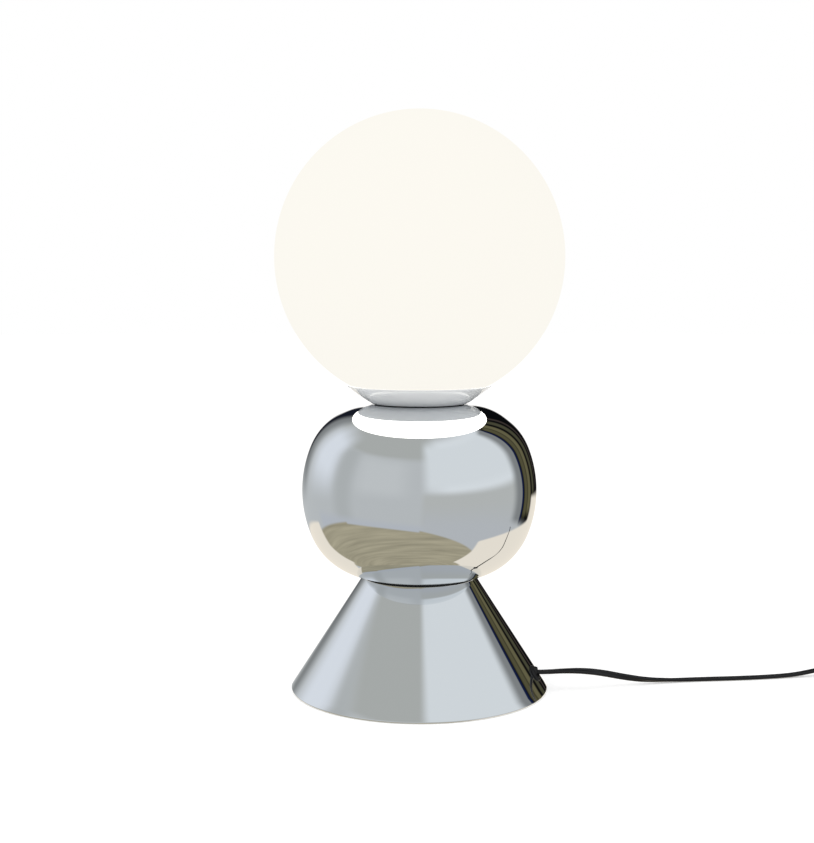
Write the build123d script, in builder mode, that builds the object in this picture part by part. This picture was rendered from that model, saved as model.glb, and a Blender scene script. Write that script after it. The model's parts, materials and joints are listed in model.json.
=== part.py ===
"""Glass globe table lamp.

An opal glass globe stands in a shallow white dish, on a polished ball and a polished
cone.  One threaded tube clamps the weight, cone, ball and dish together and carries
the lamp holder.  A flat flex leaves low on the cone through a rubber bushing.

Millimetres, +Z up.  The origin is the centre of the base on the table top.
"""

from math import atan2, cos, degrees, hypot, pi, radians, sin, sqrt, tan
import os

from build123d import *

os.makedirs("parts", exist_ok=True)

# ---------------------------------------------------------------- driving sizes
# base
pad_radius = 108.0
pad_thickness = 1.6
cone_foot_gap = 0.8  # the cone's edge stands this far off the table
cone_bottom_radius = 113.6
cone_top_radius = 50.0
cone_height = 98.6
cone_wall = 1.2
cone_edge_round = 0.8
weight_clearance = 0.2
weight_thickness = 7.6
weight_hub_radius = 36.0
weight_hub_height = 7.0
nut_recess_radius = 17.0
nut_recess_depth = 7.4

# ball
body_radius = 102.7
body_height = 151.0
body_shoulder = 59.0
body_wall = 1.2
seat_gasket_outer = 46.0
seat_gasket_inner = 20.0
seat_gasket_thickness = 1.0
spacer_radius = 8.0

# dish under the globe
cup_gasket_thickness = 0.6
cup_gasket_outer = 39.0
cup_gasket_inner = 28.0
cup_floor_radius = 41.6
cup_rim_radius = 62.2
cup_height = 14.5
cup_bulge = 0.7
cup_wall = 1.4

# globe
globe_half_width = 125.0
globe_half_height = 125.8
globe_wall = 3.0
globe_neck_radius = 38.0
globe_neck_length = 3.15  # from where the neck leaves the globe down to its ground end
seat_ring_thickness = 1.2
seat_ring_lip = 1.5
seat_ring_width = 1.8
neck_clearance = 0.3
neck_fillet = 1.5

# clip that grips the neck from inside
clip_radius = 27.0
clip_sheet = 0.8
clip_arm_width = 8.0
clip_arm_sheet = 0.6
clip_arms = 3
clip_arm_height = 15.0

# threaded tube and its nuts
rod_radius = 5.0
rod_bore = 3.5
rod_hole_clearance = 0.3
thread_clearance = 0.05
rod_lower_margin = 1.5
rod_upper_reach = 9.0
nut_flats = 14.0
nut_thickness = 3.0
washer_radius = 15.0
washer_thickness = 1.5

# lamp holder and bulb (large screw cap, 27 mm)
holder_radius = 20.8
holder_wall = 2.2
holder_cap_height = 19.6
holder_skirt_height = 29.0
holder_core_thickness = 13.0
holder_lip = 2.0
thread_pitch = 3.63
thread_turns = 5
shell_minor_radius = 13.5
shell_sheet = 0.4
thread_depth = 0.6
lamp_cap_radius = 13.0
lamp_cap_height = 23.0
lamp_contact_radius = 4.8
contact_gap = 0.3
bulb_radius = 30.0
bulb_neck_radius = 15.0
bulb_collar_height = 34.0
bulb_wall = 1.2
bulb_dome_rise = 16.0  # from the collar's top up to the dome's widest ring

# flex, bushing and clamp
cord_diameter = 5.8
cord_fit = 0.1
exit_azimuth = -12.0
bushing_height = 17.2  # of the hole's centre on the cone's outside
bushing_flange_radius = 7.5
bushing_flange_thickness = 2.2
bushing_barrel_radius = 5.0
bushing_inner_flange = 6.6
bushing_length = 13.0
bushing_nose = 4.0
bushing_nose_radius = 4.4
bushing_fit = 0.1
clamp_distance = 76.0
clamp_length = 10.0
clamp_width = 25.0
clamp_cover = 2.4
clamp_screw_spread = 8.5
clamp_screw_radius = 1.5
clamp_screw_bite = 7.0
flex_bend_distance = 38.0
flex_entry_height = 40.0  # rise of the bend inside the tube above the bushing
flex_bend_radii = (45.0, 60.0)
rod_slot_width = 6.6
rod_slot_length = 31.0

# coil of the spare cord
coil_x = 450.0
coil_y = -38.0
coil_start_radius = 46.0
coil_pitch = 7.6
coil_layer_rise = 6.3
coil_half_turns_in = 6
coil_half_turns_out = 5
tie_sheet = 0.6
tie_width = 9.0
tie_fit = 0.15

# switch in the cord
switch_x = 416.0
switch_y = 34.0
switch_length = 62.0
switch_width = 26.0
switch_base_height = 8.0
switch_cover_height = 10.0
switch_wall = 2.0
switch_corner = 6.0
switch_cord_grip = 6.0
rocker_pivot_height = 13.5
rocker_length = 18.0
rocker_width = 10.4
rocker_rise = 5.2
rocker_depth = 3.5
rocker_tilt = 7.0
rocker_gap = 0.4
trunnion_radius = 1.5
trunnion_fit = 0.06
cheek_thickness = 1.6
wire_radius = 1.1
terminal_size = (7.0, 6.0, 6.0)
terminal_spacing = 16.0
terminal_side = -5.0
switch_screw_x = 19.0
switch_screw_side = 8.2
switch_screw_radius = 1.3

# plug
plug_lead_span = 31.5
plug_strain_length = 20.0
plug_strain_radius = 4.6
plug_body_length = 35.5
plug_width = 35.3
plug_thickness = 13.7
plug_back_width = 13.0
plug_face_length = 14.0
pin_spacing = 18.6
pin_radius = 2.0
pin_length = 19.0
pin_sleeve = 10.0
pin_sleeve_radius = 1.9

# ---------------------------------------------------------------- heights of the stack
weight_bottom = pad_thickness
weight_top = weight_bottom + weight_thickness
hub_top = weight_top + weight_hub_height
cone_top = cone_foot_gap + cone_height
body_bottom = cone_top + seat_gasket_thickness
body_centre = body_bottom + body_height / 2
body_top = body_bottom + body_height
cup_bottom = body_top + cup_gasket_thickness
cup_floor = cup_bottom + cup_wall
cup_rim = cup_bottom + cup_height
neck_end = cup_floor + seat_ring_thickness
globe_neck_rise = globe_half_height * sqrt(1 - (globe_neck_radius / globe_half_width) ** 2)
globe_neck_drop = globe_neck_rise + globe_neck_length
globe_centre = neck_end + globe_neck_drop
clip_top = cup_floor + clip_sheet
holder_bottom = clip_top + nut_thickness + thread_clearance
holder_cap_top = holder_bottom + holder_cap_height
holder_core_bottom = holder_cap_top - 7.0
holder_core_top = holder_core_bottom + holder_core_thickness
holder_top = holder_cap_top + holder_skirt_height
rod_bottom = weight_bottom + rod_lower_margin
rod_top = holder_bottom + rod_upper_reach

cone_slope = atan2(cone_bottom_radius - cone_top_radius, cone_height)
hole_radius = rod_radius + rod_hole_clearance
nut_bore = rod_radius + thread_clearance
cord_radius = cord_diameter / 2


def cone_outside(z):
    """Radius of the cone's outer surface at height z."""
    return cone_bottom_radius - (z - cone_foot_gap) * tan(cone_slope)


def cone_inside(z):
    """Radius of the cone's inner surface at height z."""
    return cone_outside(z) - cone_wall / cos(cone_slope)


def upright(x, y, z, azimuth=0.0):
    """Vertical plane through a point: local x points along the azimuth and local y points up."""
    a = radians(azimuth)
    return Plane((x, y, z), x_dir=(cos(a), sin(a), 0), z_dir=(sin(a), -cos(a), 0))


def facing(point, direction, x_dir):
    """Plane at a point whose normal is the direction."""
    return Plane(point, x_dir=x_dir, z_dir=direction)


def turned_ring(inner, outer, bottom, top, mode=Mode.ADD):
    """A flat ring about the lamp's axis, or a disc where the inner radius is 0."""
    with BuildSketch(Plane.XY.offset(bottom)) as ring:
        Circle(outer)
        if inner > 0:
            Circle(inner, mode=Mode.SUBTRACT)
    extrude(ring.sketch, amount=top - bottom, mode=mode)


def turned_profile(points, mode=Mode.ADD):
    """A solid of revolution from a closed outline of (radius, height) points."""
    with BuildSketch(upright(0, 0, 0)) as profile:
        with BuildLine():
            Polyline(*points, close=True)
        make_face()
    revolve(profile.sketch, axis=Axis.Z, mode=mode)


# ---------------------------------------------------------------- base
with BuildPart() as base_pad:
    turned_ring(0, pad_radius, 0, pad_thickness)
    chamfer(base_pad.edges().group_by(Axis.Z)[-1], length=0.3)

exit_angle = radians(exit_azimuth)
exit_direction = Vector(cos(exit_angle), sin(exit_angle), 0)
slope_normal = exit_direction * cos(cone_slope) + Vector(0, 0, sin(cone_slope))
slope_up = Vector(0, 0, cos(cone_slope)) - exit_direction * sin(cone_slope)
bushing_point = exit_direction * cone_outside(bushing_height) + Vector(0, 0, bushing_height)
cord_height = bushing_height + bushing_flange_thickness * sin(cone_slope)


def along_exit(distance, z=cord_height):
    """Point at a distance from the lamp's axis, in the direction in which the cord leaves."""
    return exit_direction * distance + Vector(0, 0, z)


clamp_seat = cord_height - cord_radius
clamp_top = cord_height + cord_radius + clamp_cover
clamp_screw_places = [(clamp_distance, side * clamp_screw_spread) for side in (-1, 1)]
base_turn = Plane.XY.rotated((0, 0, exit_azimuth))

with BuildPart() as base_weight:
    turned_profile(
        [
            (0, weight_bottom),
            (cone_inside(weight_bottom) - weight_clearance, weight_bottom),
            (cone_inside(weight_top) - weight_clearance, weight_top),
            (weight_hub_radius, weight_top),
            (weight_hub_radius - 2, hub_top),
            (0, hub_top),
        ]
    )
    with BuildSketch(base_turn.offset(weight_top)):
        with Locations((clamp_distance, 0)):
            RectangleRounded(clamp_length + 2, clamp_width + 2, 2)
    extrude(amount=clamp_seat - weight_top)
    turned_ring(0, hole_radius, weight_bottom, hub_top, mode=Mode.SUBTRACT)
    turned_ring(0, nut_recess_radius, weight_bottom, weight_bottom + nut_recess_depth, mode=Mode.SUBTRACT)
    with BuildSketch(base_turn.offset(clamp_seat)):
        with Locations(*clamp_screw_places):
            Circle(clamp_screw_radius + thread_clearance)
    extrude(amount=-clamp_screw_bite - 1, mode=Mode.SUBTRACT)

with BuildPart() as base_cone:
    with BuildSketch(upright(0, 0, 0)) as cone_section:
        with BuildLine():
            Polyline(
                (hole_radius, cone_top),
                (cone_top_radius, cone_top),
                (cone_bottom_radius, cone_foot_gap),
                (cone_inside(cone_foot_gap), cone_foot_gap),
                (cone_inside(cone_top - cone_wall), cone_top - cone_wall),
                (hole_radius, cone_top - cone_wall),
                close=True,
            )
        make_face()
        rim_corner = cone_section.vertices().sort_by_distance((cone_top_radius, cone_top, 0))[0]
        fillet(rim_corner, radius=cone_edge_round)
    revolve(axis=Axis.Z)
    with BuildSketch(facing(along_exit(cone_outside(cord_height) - 12), exit_direction, (0, 0, 1))):
        Circle(bushing_barrel_radius + bushing_fit)
    extrude(amount=24, mode=Mode.SUBTRACT)

inner_flange_offset = cone_wall + 0.3
bushing_start = cone_outside(cord_height) - bushing_length

with BuildPart() as cord_bushing:
    with BuildSketch(facing(bushing_point, slope_normal, slope_up)):
        Circle(bushing_flange_radius)
    extrude(amount=bushing_flange_thickness)
    outer_rim = cord_bushing.faces().sort_by(Axis(bushing_point, slope_normal))[-1].edges()
    fillet(outer_rim, radius=0.8)
    with BuildSketch(facing(bushing_point - slope_normal * inner_flange_offset, -slope_normal, slope_up)):
        Circle(bushing_inner_flange)
    extrude(amount=1.8)
    with BuildSketch(facing(along_exit(bushing_start), exit_direction, (0, 0, 1))):
        Circle(bushing_barrel_radius)
    extrude(amount=bushing_length)
    with BuildSketch(facing(along_exit(bushing_start + bushing_length), exit_direction, (0, 0, 1))):
        Circle(bushing_nose_radius)
    extrude(amount=bushing_nose)
    with BuildSketch(facing(along_exit(bushing_start - 1), exit_direction, (0, 0, 1))):
        Circle(cord_radius + cord_fit)
    extrude(amount=bushing_length + bushing_nose + 10, mode=Mode.SUBTRACT)

with BuildPart() as cord_clamp:
    with BuildSketch(base_turn.offset(clamp_seat)):
        with Locations((clamp_distance, 0)):
            RectangleRounded(clamp_length, clamp_width, 1.5)
    extrude(amount=clamp_top - clamp_seat)
    fillet(cord_clamp.faces().sort_by(Axis.Z)[-1].edges(), radius=0.8)
    with BuildSketch(facing(along_exit(clamp_distance - clamp_length), exit_direction, (0, 0, 1))):
        Circle(cord_radius + cord_fit)
        with Locations((-cord_radius, 0)):
            Rectangle(2 * cord_radius, 2 * (cord_radius + cord_fit))
    extrude(amount=2 * clamp_length, mode=Mode.SUBTRACT)
    with BuildSketch(base_turn.offset(clamp_seat)):
        with Locations(*clamp_screw_places):
            Circle(clamp_screw_radius + 0.2)
    extrude(amount=clamp_top - clamp_seat, mode=Mode.SUBTRACT)

with BuildPart() as clamp_screws:
    with BuildSketch(base_turn.offset(clamp_seat - clamp_screw_bite)):
        with Locations(*clamp_screw_places):
            Circle(clamp_screw_radius)
    extrude(amount=clamp_screw_bite + clamp_top - clamp_seat)
    with BuildSketch(base_turn.offset(clamp_top)):
        with Locations(*clamp_screw_places):
            Circle(2.8)
    extrude(amount=2)
    with BuildSketch(base_turn.offset(clamp_top + 1)):
        with Locations(*clamp_screw_places):
            Rectangle(6, 0.8)
    extrude(amount=1, mode=Mode.SUBTRACT)

# ---------------------------------------------------------------- threaded tube, nuts and spacer
slot_top = cord_height + flex_entry_height + flex_bend_radii[1] * 0.385 - 4.5

with BuildPart() as centre_rod:
    turned_ring(rod_bore, rod_radius, rod_bottom, rod_top)
    with BuildSketch(facing(Vector(0, 0, slot_top - rod_slot_length / 2), exit_direction, (0, 0, 1))):
        RectangleRounded(rod_slot_length, rod_slot_width, 2.5)
    extrude(amount=rod_radius + 1, mode=Mode.SUBTRACT)

recess_ceiling = weight_bottom + nut_recess_depth

with BuildPart() as rod_lower_washer:
    turned_ring(hole_radius, washer_radius, recess_ceiling - washer_thickness, recess_ceiling)


def hex_nut(bottom):
    """A thin hexagonal nut on the tube."""
    with BuildSketch(Plane.XY.offset(bottom)) as hexagon:
        RegularPolygon(radius=nut_flats / 2, side_count=6, major_radius=False)
        Circle(nut_bore, mode=Mode.SUBTRACT)
    extrude(hexagon.sketch, amount=nut_thickness)


with BuildPart() as rod_lower_nut:
    hex_nut(recess_ceiling - washer_thickness - nut_thickness)

with BuildPart() as rod_upper_nut:
    hex_nut(clip_top)

with BuildPart() as seat_gasket:
    turned_ring(seat_gasket_inner, seat_gasket_outer, cone_top, body_bottom)

# ---------------------------------------------------------------- ball
shoulder_rise = body_height / 2 - body_shoulder
shoulder_reach = sqrt((body_radius - body_shoulder) ** 2 - shoulder_rise**2)
shoulder_angle = degrees(atan2(shoulder_rise, shoulder_reach))


def ball_section(inset, mode=Mode.ADD):
    """Right half of the ball's section, inset from its polished surface: a belt of a sphere,
    two rounded shoulders and two flats."""
    radius = body_radius - inset
    shoulder = body_shoulder - inset
    half_height = body_height / 2 - inset
    sweep_angle = 90 - shoulder_angle
    with BuildLine() as outline:
        Line((0, -half_height), (shoulder_reach, -half_height))
        CenterArc((shoulder_reach, -shoulder_rise), shoulder, -90, sweep_angle)
        CenterArc((0, 0), radius, -shoulder_angle, 2 * shoulder_angle)
        CenterArc((shoulder_reach, shoulder_rise), shoulder, shoulder_angle, sweep_angle)
        Line((shoulder_reach, half_height), (0, half_height))
        Line((0, half_height), (0, -half_height))
    make_face(outline.edges(), mode=mode)


with BuildPart() as body_shell:
    with BuildSketch(upright(0, 0, body_centre)):
        ball_section(0)
        ball_section(body_wall, mode=Mode.SUBTRACT)
    revolve(axis=Axis.Z)
    turned_ring(0, hole_radius, body_bottom - 1, body_top + 1, mode=Mode.SUBTRACT)

with BuildPart() as spacer_tube:
    turned_ring(hole_radius, spacer_radius, body_bottom + body_wall, body_top - body_wall)

with BuildPart() as cup_gasket:
    turned_ring(cup_gasket_inner, cup_gasket_outer, body_top, cup_bottom)


# ---------------------------------------------------------------- dish
def cup_outline(inset, floor, top, mode=Mode.ADD):
    """Right half of the dish's section down from a level: a flat floor and a bowed side."""
    side_mid = ((cup_floor_radius + cup_rim_radius) / 2, (cup_bottom + cup_rim) / 2)
    side_length = hypot(cup_rim_radius - cup_floor_radius, cup_height)
    outward = (cup_height / side_length, (cup_floor_radius - cup_rim_radius) / side_length)
    with BuildLine() as outline:
        Line((0, floor), (cup_floor_radius - 0.3 * inset, floor))
        ThreePointArc(
            (cup_floor_radius - 0.3 * inset, floor),
            (side_mid[0] + outward[0] * (cup_bulge - inset), side_mid[1] + outward[1] * (cup_bulge - inset)),
            (cup_rim_radius - 1.2 * inset, top),
        )
        Line((cup_rim_radius - 1.2 * inset, top), (0, top))
        Line((0, top), (0, floor))
    make_face(outline.edges(), mode=mode)


with BuildPart() as cup:
    with BuildSketch(upright(0, 0, 0)) as cup_section:
        cup_outline(0, cup_bottom, cup_rim)
        cup_outline(cup_wall, cup_floor, cup_rim, mode=Mode.SUBTRACT)
        fillet(cup_section.vertices().sort_by_distance((cup_floor_radius, cup_bottom, 0))[0], radius=3)
        fillet(cup_section.vertices().group_by(Axis.Y)[-1], radius=0.3 * cup_wall)
    revolve(axis=Axis.Z)
    turned_ring(0, hole_radius, cup_bottom - 1, cup_floor + 1, mode=Mode.SUBTRACT)

# ---------------------------------------------------------------- globe, its seat ring and its clip
neck_inner = globe_neck_radius - globe_wall
ring_inner = neck_inner - 0.4
ring_lip_inner = globe_neck_radius + neck_clearance
ring_outer = ring_lip_inner + seat_ring_width

with BuildPart() as globe_seat_ring:
    turned_ring(ring_inner, ring_outer, cup_floor, neck_end)
    turned_ring(ring_lip_inner, ring_outer, neck_end, neck_end + seat_ring_lip)

with BuildPart() as opal_globe:
    with BuildSketch(upright(0, 0, globe_centre)) as globe_section:
        Ellipse(globe_half_width, globe_half_height)
        with Locations((0, -globe_neck_drop)):
            Rectangle(2 * globe_neck_radius, 20, align=(Align.CENTER, Align.MIN))
        with Locations((0, -globe_neck_drop)):
            Rectangle(2 * globe_half_width, 20, align=(Align.CENTER, Align.MAX), mode=Mode.SUBTRACT)
        for side in (-1, 1):
            neck_corner = (side * globe_neck_radius, -globe_neck_rise, 0)
            fillet(globe_section.vertices().sort_by_distance(neck_corner)[0], radius=neck_fillet)
        Ellipse(globe_half_width - globe_wall, globe_half_height - globe_wall, mode=Mode.SUBTRACT)
        with Locations((0, -globe_neck_drop)):
            Rectangle(2 * neck_inner, 20, align=(Align.CENTER, Align.MIN), mode=Mode.SUBTRACT)
        with Locations((-globe_half_width, 0)):
            Rectangle(2 * globe_half_width, 3 * globe_half_height, mode=Mode.SUBTRACT)
    revolve(axis=Axis.Z)

grip_radius = neck_inner - neck_clearance

with BuildPart() as globe_clip:
    turned_ring(hole_radius, clip_radius, cup_floor, clip_top)
    for turn in range(clip_arms):
        with BuildSketch(upright(0, 0, cup_floor, azimuth=60 + turn * 360 / clip_arms)):
            with BuildLine() as arm_line:
                FilletPolyline(
                    (clip_radius - 4, clip_arm_sheet / 2),
                    (clip_radius + 3, clip_arm_sheet / 2),
                    (grip_radius - clip_arm_sheet / 2, clip_arm_height * 0.6),
                    (clip_radius + 3, clip_arm_height),
                    radius=(1.5, 2.5),
                )
                offset(amount=clip_arm_sheet / 2, side=Side.BOTH)
            make_face()
        extrude(amount=clip_arm_width / 2, both=True)

# ---------------------------------------------------------------- lamp holder
holder_bore = holder_radius - holder_wall
ledge_radius = holder_bore - 1.8
core_fit = 0.15

with BuildPart() as holder_cap:
    with BuildSketch(upright(0, 0, 0)) as cap_section:
        with BuildLine():
            Polyline(
                (nut_bore, holder_bottom),
                (holder_radius, holder_bottom),
                (holder_radius, holder_cap_top),
                (holder_bore, holder_cap_top),
                (holder_bore, holder_core_bottom),
                (ledge_radius, holder_core_bottom),
                (ledge_radius, holder_bottom + 2.6),
                (rod_radius + 3, holder_bottom + 2.6),
                (rod_radius + 3, holder_core_bottom - 4),
                (nut_bore, holder_core_bottom - 4),
                close=True,
            )
        make_face()
        fillet(cap_section.vertices().sort_by_distance((holder_radius, holder_bottom, 0))[0], radius=6)
    revolve(axis=Axis.Z)

terminal_reach = 9.5
block_size = (5.0, 7.0, 5.0)
screw_shell_bottom = holder_core_top

with BuildPart() as holder_core:
    turned_ring(0, holder_bore - core_fit, holder_core_bottom, holder_core_top)
    with BuildSketch(Plane.XY.offset(holder_core_bottom)):
        with Locations((-terminal_reach, 0), (terminal_reach, 0)):
            Rectangle(block_size[0] + 2 * core_fit, block_size[1] + 2 * core_fit)
    extrude(amount=block_size[2], mode=Mode.SUBTRACT)
    with BuildSketch(Plane.XY.offset(holder_core_top)):
        Circle(lamp_contact_radius + 3.2)
    extrude(amount=-2.5, mode=Mode.SUBTRACT)

with BuildPart() as holder_terminals:
    for side in (-1, 1):
        with BuildSketch(Plane.XY.offset(holder_core_bottom)):
            with Locations((side * terminal_reach, 0)):
                Rectangle(block_size[0], block_size[1])
        extrude(amount=block_size[2])


def thread_wave(radius, bottom, depth, outward=True):
    """Rounded thread rolled in thin sheet, as arcs up a wall from its lower end."""
    direction = 1 if outward else -1
    for turn in range(thread_turns):
        low = bottom + turn * thread_pitch
        middle = low + thread_pitch / 2
        high = low + thread_pitch
        ThreePointArc((radius, low), (radius + direction * depth, (low + middle) / 2), (radius, middle))
        ThreePointArc((radius, middle), (radius - direction * depth, (middle + high) / 2), (radius, high))


thread_length = thread_turns * thread_pitch
shell_mean = shell_minor_radius + thread_depth
wall_shift = shell_sheet
screw_shell_top = screw_shell_bottom + thread_length

with BuildPart() as holder_screw_shell:
    with BuildSketch(upright(0, 0, 0)):
        with BuildLine():
            thread_wave(shell_mean, screw_shell_bottom, thread_depth)
            Line((shell_mean, screw_shell_top), (shell_mean + wall_shift, screw_shell_top))
            Line((shell_mean, screw_shell_bottom), (shell_mean + wall_shift, screw_shell_bottom))
            thread_wave(shell_mean + wall_shift, screw_shell_bottom, thread_depth)
        make_face()
    revolve(axis=Axis.Z)

with BuildPart() as holder_skirt:
    turned_ring(holder_bore, holder_radius, holder_cap_top, holder_top)
    turned_ring(shell_mean + 2, holder_bore + 1, holder_top - holder_lip, holder_top)
    for level in range(6):
        turned_ring(
            holder_radius - 0.4,
            holder_radius + 1,
            holder_cap_top + 2 + 2.4 * level,
            holder_cap_top + 2.8 + 2.4 * level,
            mode=Mode.SUBTRACT,
        )

contact_seat = holder_core_top - 2.5
contact_top = holder_core_top + 0.6

with BuildPart() as holder_contact:
    with BuildSketch(upright(0, 0, 0)):
        with BuildLine():
            FilletPolyline(
                (-6.5, contact_seat + 0.25),
                (-2.5, contact_seat + 0.25),
                (0, contact_top - 0.25),
                (4.5, contact_top - 0.25),
                radius=(1.0, 1.0),
            )
            offset(amount=0.25, side=Side.BOTH)
        make_face()
    extrude(amount=2.5, both=True)

# ---------------------------------------------------------------- bulb
button_bottom = contact_top + contact_gap
button_top = button_bottom + 1.4
insulator_top = button_top + 3.0
lamp_cap_bottom = insulator_top
lamp_cap_top = lamp_cap_bottom + lamp_cap_height
collar_top = lamp_cap_top + bulb_collar_height
dome_centre = collar_top + bulb_dome_rise
collar_top_radius = sqrt(bulb_radius**2 - bulb_dome_rise**2)

with BuildPart() as bulb_contact:
    turned_ring(0, lamp_contact_radius, button_bottom, button_top)
    fillet(bulb_contact.edges().group_by(Axis.Z)[0], radius=0.6)

with BuildPart() as bulb_insulator:
    turned_profile(
        [
            (0, button_top),
            (lamp_contact_radius + 0.6, button_top),
            (lamp_cap_radius - 3.4, insulator_top),
            (0, insulator_top),
        ]
    )

cap_mean = lamp_cap_radius - thread_depth

with BuildPart() as bulb_cap:
    with BuildSketch(upright(0, 0, 0)):
        with BuildLine():
            Line((0, lamp_cap_bottom), (lamp_cap_radius - 3, lamp_cap_bottom))
            Line((lamp_cap_radius - 3, lamp_cap_bottom), (cap_mean, lamp_cap_bottom + 1.6))
            thread_wave(cap_mean, lamp_cap_bottom + 1.6, thread_depth)
            Line((cap_mean, lamp_cap_bottom + 1.6 + thread_length), (cap_mean, lamp_cap_top))
            Line((cap_mean, lamp_cap_top), (0, lamp_cap_top))
            Line((0, lamp_cap_top), (0, lamp_cap_bottom))
        make_face()
    revolve(axis=Axis.Z)

with BuildPart() as bulb_collar:
    with BuildSketch(upright(0, 0, 0)):
        with BuildLine():
            Line((0, lamp_cap_top), (lamp_cap_radius + 0.6, lamp_cap_top))
            Line((lamp_cap_radius + 0.6, lamp_cap_top), (bulb_neck_radius, lamp_cap_top + 4))
            ThreePointArc(
                (bulb_neck_radius, lamp_cap_top + 4),
                (bulb_neck_radius + 3.4, lamp_cap_top + 0.55 * bulb_collar_height),
                (collar_top_radius, collar_top),
            )
            Line((collar_top_radius, collar_top), (0, collar_top))
            Line((0, collar_top), (0, lamp_cap_top))
        make_face()
    revolve(axis=Axis.Z)

with BuildPart() as bulb_dome:
    with BuildSketch(upright(0, 0, dome_centre)):
        Circle(bulb_radius)
        Circle(bulb_radius - bulb_wall, mode=Mode.SUBTRACT)
        with Locations((0, -bulb_dome_rise)):
            Rectangle(2 * bulb_radius, bulb_radius, align=(Align.CENTER, Align.MAX), mode=Mode.SUBTRACT)
        with Locations((-bulb_radius, 0)):
            Rectangle(2 * bulb_radius, 2 * bulb_radius, mode=Mode.SUBTRACT)
    revolve(axis=Axis.Z)


# ---------------------------------------------------------------- cords
def corner_radii(points, share=0.45):
    """Radius at each corner of a route: a share of the shorter run over the tangent of half the turn."""
    radii = []
    for before, corner, after in zip(points, points[1:], points[2:]):
        run_in = Vector(corner) - Vector(before)
        run_out = Vector(after) - Vector(corner)
        half_turn = radians(run_in.get_angle(run_out)) / 2
        radii.append(share * min(run_in.length, run_out.length) / tan(half_turn))
    return radii


def tube(points, radius, radii, start_up=(0, 0, 1)):
    """A round tube along straight runs joined by tangent arcs."""
    with BuildLine() as route:
        FilletPolyline(*points, radius=radii)
    path = route.wires()[0]
    with BuildSketch(facing(path @ 0, path % 0, start_up)) as end:
        Circle(radius)
    sweep(end.sketch, path=path)
    return path.length


def report_tube(label, piece, length, radii):
    """Print a tube's length, its arcs and how its volume compares with section times length."""
    section = pi * cord_radius**2
    share = piece.part.volume / (section * length)
    listed = ", ".join(f"{r:.0f}" for r in radii)
    print(f"{label}: {length:.1f} long, radii {listed}, volume over section times length {share:.4f}")


cord_start = cone_outside(cord_height) - 3.0

flex_route = [
    along_exit(cord_start),
    along_exit(flex_bend_distance),
    along_exit(0, cord_height + flex_entry_height),
    Vector(0, 0, rod_top - 1),
]

with BuildPart() as inner_flex:
    inner_length = tube(flex_route, cord_radius, flex_bend_radii)
report_tube("inner_flex", inner_flex, inner_length, flex_bend_radii)

with BuildPart() as holder_wires:
    for side in (-1, 1):
        wire_route = [
            (side * 1.4, 0, rod_top - 1),
            (side * 1.4, 0, rod_top + 1.6),
            (side * terminal_reach, 0, rod_top + 1.6),
            (side * terminal_reach, 0, holder_core_bottom),
        ]
        tube(wire_route, wire_radius, (1.4, 1.4), start_up=(1, 0, 0))

rest_height = cord_radius
cord_entry_x = switch_x - switch_length / 2 + switch_cord_grip

cord_route = [
    tuple(along_exit(cord_start)),
    tuple(along_exit(cone_outside(cord_height) + 7)),
    (128.0, -23.0, 20.0),
    (146.0, -17.5, 18.4),
    (163.0, -9.5, 14.2),
    (180.0, -2.0, 9.0),
    (200.0, 5.5, 4.6),
    (224.0, 11.5, rest_height),
    (252.0, 16.0, rest_height),
    (282.0, 19.0, rest_height),
    (312.0, 23.5, rest_height),
    (340.0, 29.5, rest_height + 0.2),
    (363.0, 33.4, 6.0),
    (379.0, switch_y, switch_base_height),
    (cord_entry_x, switch_y, switch_base_height),
]
cord_radii = corner_radii(cord_route)

with BuildPart() as cord:
    cord_length = tube(cord_route, cord_radius, cord_radii)
report_tube("cord", cord, cord_length, cord_radii)

coil_base = rest_height + tie_sheet + tie_fit
coil_high = coil_base + coil_layer_rise
link_x = coil_x + coil_start_radius
link_entry_x = switch_x + switch_length / 2 - switch_cord_grip

link_route = [
    (link_entry_x, switch_y, switch_base_height),
    (link_entry_x + 17.0, switch_y, switch_base_height),
    (link_entry_x + 35.0, switch_y - 6.0, 5.6),
    (link_x - 7.0, switch_y - 22.0, coil_base + 0.4),
    (link_x, switch_y - 46.0, coil_base),
    (link_x, coil_y + cord_diameter, coil_base),
]
link_radii = corner_radii(link_route)

with BuildPart() as cord_link:
    link_length = tube(link_route, cord_radius, link_radii)
report_tube("cord_link", cord_link, link_length, link_radii)

# The coil is a chain of half turns.  Each one spans two points on a line through the
# coil's middle, so it meets the next one square to that line, whatever their heights.
coil_radii = [coil_start_radius - step * coil_pitch / 2 for step in range(coil_half_turns_in + 1)]
coil_radii += [coil_radii[-1] + step * coil_pitch / 2 for step in range(coil_half_turns_out + 1)]


def coil_stop(step):
    """Point at which a half turn of the coil ends and the next one starts."""
    side = 1 if step % 2 == 0 else -1
    level = coil_base if step <= coil_half_turns_in else coil_high
    return Vector(coil_x + side * coil_radii[step], coil_y, level)


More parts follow.
